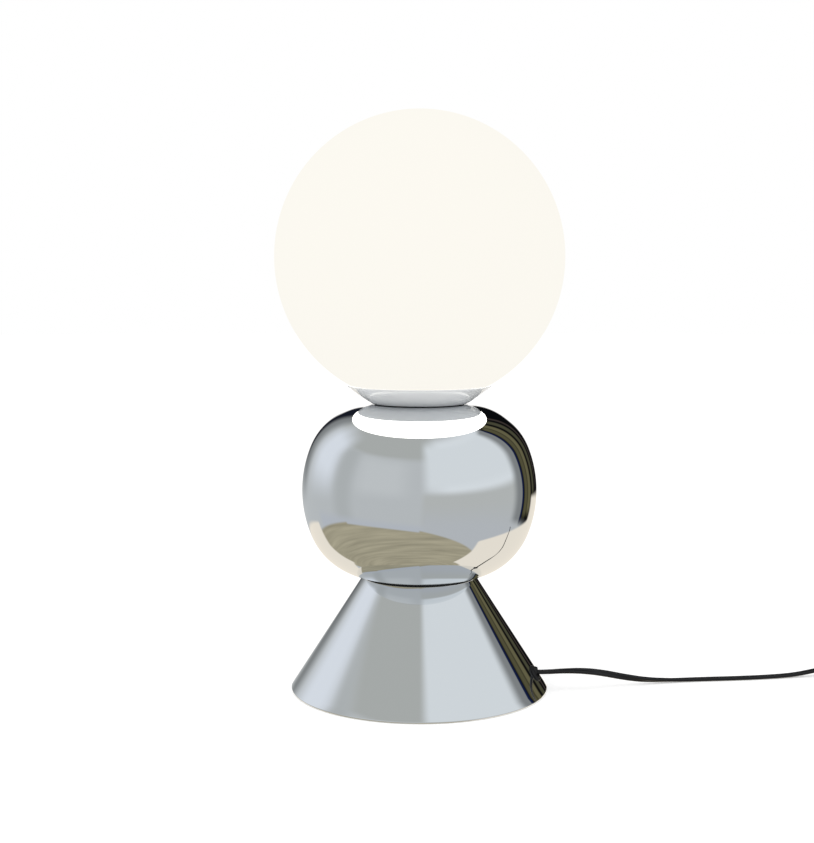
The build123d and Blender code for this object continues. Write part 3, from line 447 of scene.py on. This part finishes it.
# %% Globe
def globe_shell():
    """Opal shell: two cut spheres joined by the ground end of the neck."""
    bm = bmesh.new()
    wall = 0.0030
    rise = globe_half_height / globe_radius
    for radius, neck in ((globe_radius, neck_radius), (globe_radius - wall, neck_radius - wall)):
        part = bmesh.new()
        bmesh.ops.create_uvsphere(part, u_segments=192, v_segments=112, radius=radius)
        bmesh.ops.scale(part, verts=part.verts, vec=(1, 1, rise))
        bmesh.ops.translate(part, verts=part.verts, vec=(0, 0, globe_centre))
        cut = globe_centre - rise * sqrt(radius**2 - (neck + 0.0008) ** 2)
        bmesh.ops.bisect_plane(
            part,
            geom=part.verts[:] + part.edges[:] + part.faces[:],
            plane_co=(0, 0, cut),
            plane_no=(0, 0, -1),
            clear_outer=True,
        )
        open_edges = [e for e in part.edges if e.is_boundary]
        grown = bmesh.ops.extrude_edge_only(part, edges=open_edges)
        corner = [v for v in grown["geom"] if isinstance(v, bmesh.types.BMVert)]
        bmesh.ops.scale(part, verts=corner, vec=(neck / (neck + 0.0008), neck / (neck + 0.0008), 1))
        bmesh.ops.translate(part, verts=corner, vec=(0, 0, -0.0007))
        open_edges = [e for e in part.edges if e.is_boundary]
        grown = bmesh.ops.extrude_edge_only(part, edges=open_edges)
        end = [v for v in grown["geom"] if isinstance(v, bmesh.types.BMVert)]
        for vert in end:
            vert.co.z = neck_end
        mesh = bpy.data.meshes.new("half")
        part.to_mesh(mesh)
        part.free()
        bm.from_mesh(mesh)
    ends = [e for e in bm.edges if e.is_boundary]
    bmesh.ops.bridge_loops(bm, edges=ends)
    return bm


globe = piece_from("globe", globe_shell(), "globe", ["opal_globe"], smooth_angle=60)

# %% [markdown]
# ## Bushing
# A black rubber bushing lines the hole in the cone.  Its flange lies flat on the sloping
# metal like a grommet, and its barrel guides the flex straight out.


# %% Bushing
def draw_flange(bm):
    """Half round collar, from the cord's side out to its edge and back over the top."""
    point = pen_down(bm, 0.0034, 0.0)
    point = line_to(bm, point, 0.0077, 0.0, 3)
    point = arc_to(bm, point, (0.0061, 0.0), 105, 14)
    point = line_to(bm, point, 0.0044, 0.0020, 2)
    point = line_to(bm, point, 0.0036, 0.0018)
    line_to(bm, point, 0.0034, 0.0)


def draw_barrel(bm):
    """Sleeve through the hole in the cone, with a short rounded end outside."""
    point = pen_down(bm, 0.0030, -0.0120)
    point = line_to(bm, point, 0.0048, -0.0120)
    point = line_to(bm, point, 0.0050, -0.0116)
    point = line_to(bm, point, 0.0050, 0.0002, 4)
    point = line_to(bm, point, 0.0046, 0.0014)
    point = arc_to(bm, point, (0.0038, 0.0014), 90, 6)
    point = line_to(bm, point, 0.0030, 0.0018)
    line_to(bm, point, 0.0030, -0.0120, 4)


def turned_along(draw, way, place):
    """Mesh of a turned profile whose axis points along a direction, moved to its place."""
    bm = bmesh.new()
    draw(bm)
    turn_on_axis(bm, 72)
    turn = Vector((0, 0, 1)).rotation_difference(way).to_matrix()
    bmesh.ops.rotate(bm, verts=bm.verts, cent=(0, 0, 0), matrix=turn)
    bmesh.ops.translate(bm, verts=bm.verts, vec=place)
    mesh = bpy.data.meshes.new("turned")
    bm.to_mesh(mesh)
    bm.free()
    return mesh


bushing_height = 0.0172
cone_at_bushing = cone_bottom_radius - (bushing_height - cone_foot) * cone_sin / cone_cos
slope_normal = exit_way * cone_cos + Vector((0, 0, cone_sin))
bushing_place = exit_way * cone_at_bushing + Vector((0, 0, bushing_height))
bm = bmesh.new()
bm.from_mesh(turned_along(draw_flange, slope_normal, bushing_place))
bm.from_mesh(turned_along(draw_barrel, exit_way, exit_way * cone_at_bushing + Vector((0, 0, exit_height))))
bushing = piece_from("bushing", bm, "base", ["cord_bushing"], smooth_angle=45)

# %% [markdown]
# ## Finishes
# Each finish is a Principled shader in its own material.  What they share, such as fine
# grain or the marks that hands leave, is a node group that gives a mask or a normal.


# %% Node group helpers
def new_group(name, inputs, outputs):
    """Empty shader node group with float inputs and named outputs."""
    group = bpy.data.node_groups.new(name, "ShaderNodeTree")
    for label, default in inputs:
        socket = group.interface.new_socket(label, in_out="INPUT", socket_type="NodeSocketFloat")
        socket.default_value = default
    for label, kind in outputs:
        group.interface.new_socket(label, in_out="OUTPUT", socket_type=kind)
    return group, group.nodes.new("NodeGroupInput"), group.nodes.new("NodeGroupOutput")


def grain_group():
    """Bump of fine grain: size in metres and strength."""
    group, given, out = new_group(
        "fine_grain",
        [("Scale", 900.0), ("Strength", 0.2)],
        [("Normal", "NodeSocketVector"), ("Mask", "NodeSocketFloat")],
    )
    nodes, links = group.nodes, group.links
    place = nodes.new("ShaderNodeTexCoord")
    noise = nodes.new("ShaderNodeTexNoise")
    noise.inputs["Detail"].default_value = 4
    bump = nodes.new("ShaderNodeBump")
    bump.inputs["Distance"].default_value = 0.0002
    links.new(place.outputs["Object"], noise.inputs["Vector"])
    links.new(given.outputs["Scale"], noise.inputs["Scale"])
    links.new(noise.outputs["Fac"], bump.inputs["Height"])
    links.new(given.outputs["Strength"], bump.inputs["Strength"])
    links.new(bump.outputs["Normal"], out.inputs["Normal"])
    links.new(noise.outputs["Fac"], out.inputs["Mask"])
    return group


def blotch_group():
    """Soft uneven value between Low and High, as handling or polishing leaves it."""
    group, given, out = new_group(
        "handling", [("Scale", 9.0), ("Low", 0.02), ("High", 0.05)], [("Value", "NodeSocketFloat")]
    )
    nodes, links = group.nodes, group.links
    place = nodes.new("ShaderNodeTexCoord")
    wide = nodes.new("ShaderNodeTexNoise")
    wide.inputs["Detail"].default_value = 5
    wide.inputs["Roughness"].default_value = 0.6
    spread = nodes.new("ShaderNodeMapRange")
    spread.inputs["From Min"].default_value = 0.35
    spread.inputs["From Max"].default_value = 0.70
    links.new(place.outputs["Object"], wide.inputs["Vector"])
    links.new(given.outputs["Scale"], wide.inputs["Scale"])
    links.new(wide.outputs["Fac"], spread.inputs["Value"])
    links.new(given.outputs["Low"], spread.inputs["To Min"])
    links.new(given.outputs["High"], spread.inputs["To Max"])
    links.new(spread.outputs["Result"], out.inputs["Value"])
    return group


grain = grain_group()
handling = blotch_group()


# %% Helper for sums in a node tree
def maths(tree, operation, first, second=None):
    """Math node on one or two sockets or numbers."""
    node = tree.nodes.new("ShaderNodeMath")
    node.operation = operation
    for socket, value in zip(node.inputs, (first, second)):
        if isinstance(value, bpy.types.NodeSocket):
            tree.links.new(value, socket)
        elif value is not None:
            socket.default_value = value
    return node.outputs["Value"]


# %% Helper that starts a finish
def new_finish(name, colour, **shader_values):
    """Material with a Principled shader, and its node tree."""
    material = bpy.data.materials.new(name)
    material.use_nodes = True
    shader = material.node_tree.nodes["Principled BSDF"]
    shader.inputs["Base Color"].default_value = (*colour, 1)
    for socket, value in shader_values.items():
        shader.inputs[socket.replace("_", " ")].default_value = value
    return material, shader


def add_group(material, group, **values):
    """Place a node group in a material with its own values."""
    node = material.node_tree.nodes.new("ShaderNodeGroup")
    node.node_tree = group
    for socket, value in values.items():
        node.inputs[socket].default_value = value
    return node


def two_tone(material, shader, mask, first, second):
    """Mix two close colours by a mask into the shader's base colour."""
    mix = material.node_tree.nodes.new("ShaderNodeMix")
    mix.data_type = "RGBA"
    mix.inputs["A"].default_value = (*first, 1)
    mix.inputs["B"].default_value = (*second, 1)
    material.node_tree.links.new(mask, mix.inputs["Factor"])
    material.node_tree.links.new(mix.outputs["Result"], shader.inputs["Base Color"])


def grained(name, first, second, scale, strength, low, high, wide=12.0, **values):
    """Finish with fine grain, two close tones and uneven roughness."""
    material, shader = new_finish(name, first, **values)
    links = material.node_tree.links
    fine = add_group(material, grain, Scale=scale, Strength=strength)
    uneven = add_group(material, handling, Scale=wide, Low=low, High=high)
    links.new(fine.outputs["Normal"], shader.inputs["Normal"])
    links.new(uneven.outputs["Value"], shader.inputs["Roughness"])
    two_tone(material, shader, fine.outputs["Mask"], first, second)
    return material


# %% [markdown]
# ### Chrome
# Plated and polished metal is a mirror with a slightly cool colour.  All it shows is the
# room, so its own detail is small: roughness that varies where it was wiped.

# %% Chrome
chrome, chrome_shader = new_finish("chrome", (0.80, 0.82, 0.84), Metallic=1.0, Roughness=0.03)
wiped = add_group(chrome, handling, Scale=7.0, Low=0.006, High=0.024)
chrome.node_tree.links.new(wiped.outputs["Value"], chrome_shader.inputs["Roughness"])

# %% [markdown]
# ### Opal glass
# Lit from inside, opal glass shines evenly and hides its bulb.  The glow is on the
# shader's emission.  A camera holds that glow back to a warm white, but the polished
# metal below still mirrors it as pure white, so what metal sees of it is brighter.

# %% Opal glass
opal, opal_shader = new_finish("opal_glass", (0.06, 0.06, 0.058), Roughness=0.35)
opal_shader.inputs["Specular IOR Level"].default_value = 0.0
opal_shader.inputs["Emission Color"].default_value = (0.915, 0.889, 0.822, 1)
ray = opal.node_tree.nodes.new("ShaderNodeLightPath")
first_bounces = maths(opal.node_tree, "LESS_THAN", ray.outputs["Diffuse Depth"], 1.5)
in_metal = maths(opal.node_tree, "MULTIPLY", ray.outputs["Is Glossy Ray"], first_bounces)
glow = maths(opal.node_tree, "MULTIPLY", in_metal, 2.2)
glow = maths(opal.node_tree, "ADD", glow, 1.0)
opal.node_tree.links.new(glow, opal_shader.inputs["Emission Strength"])

# %% Other finishes
enamel = grained(
    "white_enamel", (0.85, 0.86, 0.87), (0.87, 0.88, 0.89),
    1500, 0.02, 0.10, 0.16, Coat_Weight=1.0, Specular_IOR_Level=0.0,
)
rubber = grained(
    "black_rubber", (0.006, 0.006, 0.007), (0.012, 0.012, 0.013),
    2600, 0.25, 0.34, 0.50, Specular_IOR_Level=0.3,
)
cord_pvc = grained(
    "cord_pvc", (0.004, 0.004, 0.005), (0.009, 0.009, 0.011),
    1800, 0.10, 0.16, 0.28, Specular_IOR_Level=0.3,
)
plug_pvc = grained("plug_pvc", (0.010, 0.010, 0.012), (0.016, 0.016, 0.018), 2200, 0.30, 0.38, 0.52)
switch_plastic = grained(
    "switch_plastic", (0.012, 0.012, 0.013), (0.018, 0.018, 0.019),
    2400, 0.15, 0.26, 0.36,
)
black_moulding = grained(
    "black_moulding", (0.014, 0.013, 0.012), (0.022, 0.020, 0.018),
    1500, 0.12, 0.25, 0.36,
)
tie_plastic = grained("tie_plastic", (0.02, 0.02, 0.02), (0.03, 0.03, 0.03), 2500, 0.2, 0.4, 0.5)
pad_foam = grained("pad_foam", (0.02, 0.02, 0.022), (0.035, 0.035, 0.037), 1400, 0.8, 0.85, 0.95)
cast_iron = grained(
    "cast_iron", (0.045, 0.045, 0.048), (0.075, 0.073, 0.072),
    420, 0.9, 0.55, 0.75, Metallic=0.6,
)
nylon = grained("nylon", (0.60, 0.59, 0.55), (0.66, 0.65, 0.61), 1800, 0.2, 0.40, 0.50)
silicone = grained("silicone", (0.62, 0.62, 0.60), (0.70, 0.70, 0.68), 1500, 0.1, 0.35, 0.45)
steatite = grained("steatite", (0.72, 0.69, 0.62), (0.80, 0.77, 0.70), 900, 0.5, 0.55, 0.70)
wire_pvc = grained("wire_pvc", (0.16, 0.07, 0.03), (0.20, 0.09, 0.04), 2200, 0.1, 0.35, 0.45)
bulb_white = grained("bulb_white", (0.78, 0.78, 0.76), (0.82, 0.82, 0.80), 1800, 0.1, 0.35, 0.45)
bulb_diffuser = grained("bulb_diffuser", (0.82, 0.81, 0.78), (0.86, 0.85, 0.82), 2600, 0.1, 0.40, 0.50)
zinc = grained("zinc_steel", (0.52, 0.53, 0.55), (0.62, 0.62, 0.60), 700, 0.15, 0.22, 0.38, Metallic=1.0)
spring_steel = grained(
    "spring_steel", (0.42, 0.43, 0.45), (0.50, 0.50, 0.50),
    900, 0.1, 0.22, 0.34, Metallic=1.0,
)
brass = grained("brass", (0.62, 0.44, 0.17), (0.72, 0.54, 0.24), 600, 0.15, 0.20, 0.36, Metallic=1.0)
nickel_cap = grained("nickel_cap", (0.58, 0.57, 0.54), (0.66, 0.65, 0.62), 800, 0.1, 0.20, 0.34, Metallic=1.0)
nickel_pins = grained(
    "nickel_pins", (0.60, 0.58, 0.52), (0.68, 0.66, 0.60),
    800, 0.1, 0.18, 0.30, Metallic=1.0,
)
tinned = grained("tinned", (0.55, 0.55, 0.54), (0.66, 0.66, 0.65), 500, 0.3, 0.25, 0.40, Metallic=1.0)

# %% Put the finishes on
finishes = {
    "chrome": chrome,
    "opal_glass": opal,
    "white_enamel": enamel,
    "black_rubber": rubber,
    "cord_pvc": cord_pvc,
    "plug_pvc": plug_pvc,
    "switch_plastic": switch_plastic,
    "black_moulding": black_moulding,
    "tie_plastic": tie_plastic,
    "pad_foam": pad_foam,
    "cast_iron": cast_iron,
    "nylon": nylon,
    "silicone": silicone,
    "steatite": steatite,
    "wire_pvc": wire_pvc,
    "bulb_white": bulb_white,
    "bulb_diffuser": bulb_diffuser,
    "zinc_steel": zinc,
    "spring_steel": spring_steel,
    "brass": brass,
    "nickel_cap": nickel_cap,
    "nickel_pins": nickel_pins,
    "tinned": tinned,
}
node_slots = {part["node"]: part["material_slot"] for part in frame["record"]["subparts"]}
for node, obj in frame["nodes"].items():
    if not obj.material_slots:
        obj.data.materials.append(None)
    for place in obj.material_slots:
        place.material = finishes[node_slots[node]]
for obj, finish in (
    (flex, cord_pvc),
    (spare, cord_pvc),
    (ball, chrome),
    (cone, chrome),
    (dish, enamel),
    (globe, opal),
    (bushing, rubber),
):
    obj.data.materials.clear()
    obj.data.materials.append(finish)
for obj in (spare, *(frame["nodes"][n] for n in (*switch_nodes, "coil_tie", "plug_body", "plug_pins"))):
    obj.visible_glossy = False
print(f"{len(finishes)} finishes on {len(node_slots)} nodes")

# %% [markdown]
# ## Studio
# The lamp stands on a plain white floor that keeps its shadow.  Polished metal shows
# what stands round it, so plain cards stand outside the picture and give it its greys.


# %% Floor
def stage_object(name, bm, material):
    """Part of the studio, which doesn't belong to the lamp."""
    mesh = bpy.data.meshes.new(name)
    bm.to_mesh(mesh)
    bm.free()
    obj = bpy.data.objects.new(name, mesh)
    bpy.context.scene.collection.objects.link(obj)
    obj.data.materials.append(material)
    return obj


def seen_directly(tree):
    """1 for rays from the camera, off metal or through glass, and 0 for the rest."""
    path = tree.nodes.new("ShaderNodeLightPath")
    first = tree.nodes.new("ShaderNodeMath")
    first.operation = "MAXIMUM"
    second = tree.nodes.new("ShaderNodeMath")
    second.operation = "MAXIMUM"
    tree.links.new(path.outputs["Is Camera Ray"], first.inputs[0])
    tree.links.new(path.outputs["Is Glossy Ray"], first.inputs[1])
    tree.links.new(first.outputs["Value"], second.inputs[0])
    tree.links.new(path.outputs["Is Transmission Ray"], second.inputs[1])
    return second.outputs["Value"]


floor_finish, floor_shader = new_finish("floor", (0.90, 0.90, 0.90), Roughness=1.0)
floor_shader.inputs["Specular IOR Level"].default_value = 0.0
floor_shader.inputs["Emission Color"].default_value = (1, 1, 1, 1)
lift = floor_finish.node_tree.nodes.new("ShaderNodeMath")
lift.operation = "MULTIPLY"
lift.inputs[1].default_value = 0.38
floor_finish.node_tree.links.new(seen_directly(floor_finish.node_tree), lift.inputs[0])
floor_finish.node_tree.links.new(lift.outputs["Value"], floor_shader.inputs["Emission Strength"])
bm = bmesh.new()
bmesh.ops.create_circle(bm, cap_ends=True, segments=96, radius=9.0)
floor = stage_object("floor", bm, floor_finish)
floor.visible_glossy = False

# %% World
world = bpy.data.worlds.new("studio")
bpy.context.scene.world = world
world.use_nodes = True
background = world.node_tree.nodes["Background"]
background.inputs["Color"].default_value = (1, 1, 1, 1)
level = world.node_tree.nodes.new("ShaderNodeMapRange")
level.inputs["To Min"].default_value = 0.75
level.inputs["To Max"].default_value = 1.0
world.node_tree.links.new(seen_directly(world.node_tree), level.inputs["Value"])
world.node_tree.links.new(level.outputs["Result"], background.inputs["Strength"])


# %% Soft lamps
def soft_lamp(name, place, aim, size, power):
    """Square area lamp that metal doesn't show."""
    data = bpy.data.lights.new(name, "AREA")
    data.size = size
    data.energy = power
    lamp = bpy.data.objects.new(name, data)
    lamp.location = place
    lamp.rotation_euler = (Vector(aim) - Vector(place)).to_track_quat("-Z", "Y").to_euler()
    lamp.visible_glossy = False
    bpy.context.scene.collection.objects.link(lamp)
    return lamp


soft_lamp("key", (-1.3, -1.2, 1.9), (0, 0, 0.2), 1.2, 14)
soft_lamp("fill", (1.6, -1.0, 1.3), (0, 0, 0.2), 1.4, 6)


# %% [markdown]
# ### What the polished metal sees
# A polished ball mirrors the whole studio at once, floor and ceiling too.  Hanging many
# cards would leave hard gaps, so one large shell stands round the studio, and each card
# is a soft window of plain tone on it, set by its turn to the right of the front and its
# rise above level.  Only polished surfaces see the shell.


# %% Soft window
def window_group():
    """Mask of a soft-edged window in turn and rise, with an upper edge that may lean."""
    edges = [("Turn", 0), ("Rise", 0), ("Left", 0), ("Right", 0), ("Bottom", 0), ("Top", 0), ("Lean", 0)]
    group, given, out = new_group("window", edges + [("Side", 1), ("Edge", 1)], [("Mask", "NodeSocketFloat")])
    value = given.outputs
    leant = maths(group, "SUBTRACT", value["Turn"], value["Left"])
    top = maths(group, "SUBTRACT", value["Top"], maths(group, "MULTIPLY", leant, value["Lean"]))
    mask = None
    for inner, outer, soft in (
        (value["Turn"], value["Left"], value["Side"]),
        (value["Right"], value["Turn"], value["Side"]),
        (value["Rise"], value["Bottom"], value["Edge"]),
        (top, value["Rise"], value["Edge"]),
    ):
        inside = maths(group, "DIVIDE", maths(group, "SUBTRACT", inner, outer), soft)
        step = group.nodes.new("ShaderNodeMapRange")
        step.interpolation_type = "SMOOTHSTEP"
        step.inputs["From Min"].default_value = -0.5
        step.inputs["From Max"].default_value = 0.5
        group.links.new(inside, step.inputs["Value"])
        inside = step.outputs["Result"]
        mask = inside if mask is None else maths(group, "MULTIPLY", mask, inside)
    group.links.new(mask, out.inputs["Mask"])
    return group


def metal_tone(red, green, blue):
    """Light that chrome turns into this screen colour of 0 to 255."""
    chrome_colour = (0.80, 0.82, 0.84)
    return tuple((c / 255) ** 2.2 / k for c, k in zip((red, green, blue), chrome_colour))


# %% Shell round the studio
WALL, SHADE, CEILING = (176, 181, 184), (167, 172, 174), (163, 167, 166)
BOARDS, CREAM, WHITE = (156, 151, 131), (224, 218, 206), (250, 250, 250)
FLAG, FOLD, NAVY, DUSK = (17, 18, 20), (80, 78, 58), (22, 32, 62), (122, 126, 128)

windows = {
    # name: (tone, left, right, bottom, top, lean, softness of sides, softness of edges)
    "ceiling": (CEILING, -200, 30, 36, 120, 0, 50, 9),
    "right_light": ((224, 231, 237), 20, 112, 0, 62, 0, 26, 26),
    "right_wall": ((204, 211, 216), 6, 112, 4, 60, 0, 14, 22),
    "left_light": ((209, 216, 225), -132, -94, 2, 44, 0, 26, 24),
    "middle_light": ((184, 189, 192), -64, -14, 2, 33, 0, 26, 14),
    "left_corner": (SHADE, -90, -70, -24, 36, 0, 16, 8),
    "low_wall": ((172, 176, 176), 3, 114, -60, 4, 0, 8, 8),
    "lower_wall": ((172, 177, 182), 3, 114, -60, -16, 0, 10, 26),
    "skirting": ((172, 178, 186), -116, 4, -36, -15, 0.10, 8, 8),
    "right_shade": (DUSK, 106, 190, -20, 52, 0, 13, 5),
    "left_shade": (DUSK, -200, -143, -6, 42, 0, 18, 12),
    "left_flag": ((28, 31, 40), -200, -157, -1, 36, 0, 10, 8),
    "right_flag": (FLAG, 119.5, 200, -19, 62, 0, 2, 6),
    "fold_one": (FOLD, 122.5, 129, -16, 48, 0, 3, 5),
    "fold_two": ((96, 93, 70), 130, 136.5, -14, 48, 0, 3, 5),
    "fold_three": ((70, 70, 56), 141, 147, -8, 44, 0, 3, 6),
    "fold_four": ((58, 52, 50), 151, 154, -6, 40, 0, 2, 6),
    "navy_trim": (NAVY, 118, 121, -19, 48, 0, 1.5, 5),
    "boards_left": (BOARDS, -132, -78, -100, -23, -0.02, 3, 2),
    "boards_front": (BOARDS, -80, 2, -100, -23, 0.12, 3, 2),
    "boards_right": (BOARDS, 0, 200, -100, -31, 0.22, 3, 2),
    "cream_right": (CREAM, 71, 200, -66, -38, -0.32, 4, 2),
    "cream_far_right": (CREAM, 139, 200, -40, -8, 0, 5, 2),
    "cream_left": (CREAM, -200, -123, -50, -9, 0.13, 4, 2),
    "white_right": (WHITE, 164, 200, -18, 10, 0, 5, 4),
    "white_left": (WHITE, -200, -167, -14, 14, 0, 5, 4),
}


def board_tone(tree, tone, turn, rise):
    """Tone of floorboards: long uneven streaks that run round the lamp."""
    place = tree.nodes.new("ShaderNodeCombineXYZ")
    tree.links.new(maths(tree, "MULTIPLY", turn, 0.016), place.inputs["X"])
    tree.links.new(maths(tree, "MULTIPLY", rise, 0.32), place.inputs["Y"])
    streaks = tree.nodes.new("ShaderNodeTexNoise")
    streaks.inputs["Scale"].default_value = 1.0
    streaks.inputs["Detail"].default_value = 3.0
    tree.links.new(place.outputs["Vector"], streaks.inputs["Vector"])
    wood = tree.nodes.new("ShaderNodeMix")
    wood.data_type = "RGBA"
    for socket, level in (("A", 0.55), ("B", 1.40)):
        wood.inputs[socket].default_value = (*(level * c for c in metal_tone(*tone)), 1)
    tree.links.new(streaks.outputs["Fac"], wood.inputs["Factor"])
    return wood.outputs["Result"]


def shell_finish():
    """Plain wall tone with the windows laid over it in order."""
    material, shader = new_finish("studio_shell", (0, 0, 0))
    shader.inputs["Specular IOR Level"].default_value = 0.0
    shader.inputs["Emission Strength"].default_value = 1.0
    tree = material.node_tree
    split = tree.nodes.new("ShaderNodeSeparateXYZ")
    tree.links.new(tree.nodes.new("ShaderNodeTexCoord").outputs["Object"], split.inputs["Vector"])
    across, deep, up = split.outputs["X"], split.outputs["Y"], split.outputs["Z"]
    across_squared = maths(tree, "MULTIPLY", across, across)
    deep_squared = maths(tree, "MULTIPLY", deep, deep)
    flat = maths(tree, "SQRT", maths(tree, "ADD", across_squared, deep_squared))
    turn = maths(tree, "ARCTAN2", across, maths(tree, "MULTIPLY", deep, -1.0))
    turn = maths(tree, "DEGREES", turn)
    rise = maths(tree, "DEGREES", maths(tree, "ARCTAN2", up, flat))
    window = window_group()
    boards = board_tone(tree, BOARDS, turn, rise)
    colour = None
    for name, (tone, left, right, bottom, top, lean, side, edge) in windows.items():
        place = add_group(
            material, window,
            Left=left, Right=right, Bottom=bottom, Top=top, Lean=lean, Side=side, Edge=edge,
        )
        tree.links.new(turn, place.inputs["Turn"])
        tree.links.new(rise, place.inputs["Rise"])
        lay = tree.nodes.new("ShaderNodeMix")
        lay.data_type = "RGBA"
        if name.startswith("boards"):
            tree.links.new(boards, lay.inputs["B"])
        else:
            lay.inputs["B"].default_value = (*metal_tone(*tone), 1)
        tree.links.new(place.outputs["Mask"], lay.inputs["Factor"])
        if colour is None:
            lay.inputs["A"].default_value = (*metal_tone(*WALL), 1)
        else:
            tree.links.new(colour, lay.inputs["A"])
        colour = lay.outputs["Result"]
    tree.links.new(colour, shader.inputs["Emission Color"])
    return material


bm = bmesh.new()
bmesh.ops.create_uvsphere(bm, u_segments=96, v_segments=48, radius=20.0)
shell = stage_object("studio_shell", bm, shell_finish())
shell.visible_camera = False
shell.visible_diffuse = False
shell.visible_shadow = False
shell.visible_transmission = False
print(f"studio shell with {len(windows)} soft windows")


# %% Colour management
bpy.context.scene.view_settings.view_transform = "Standard"
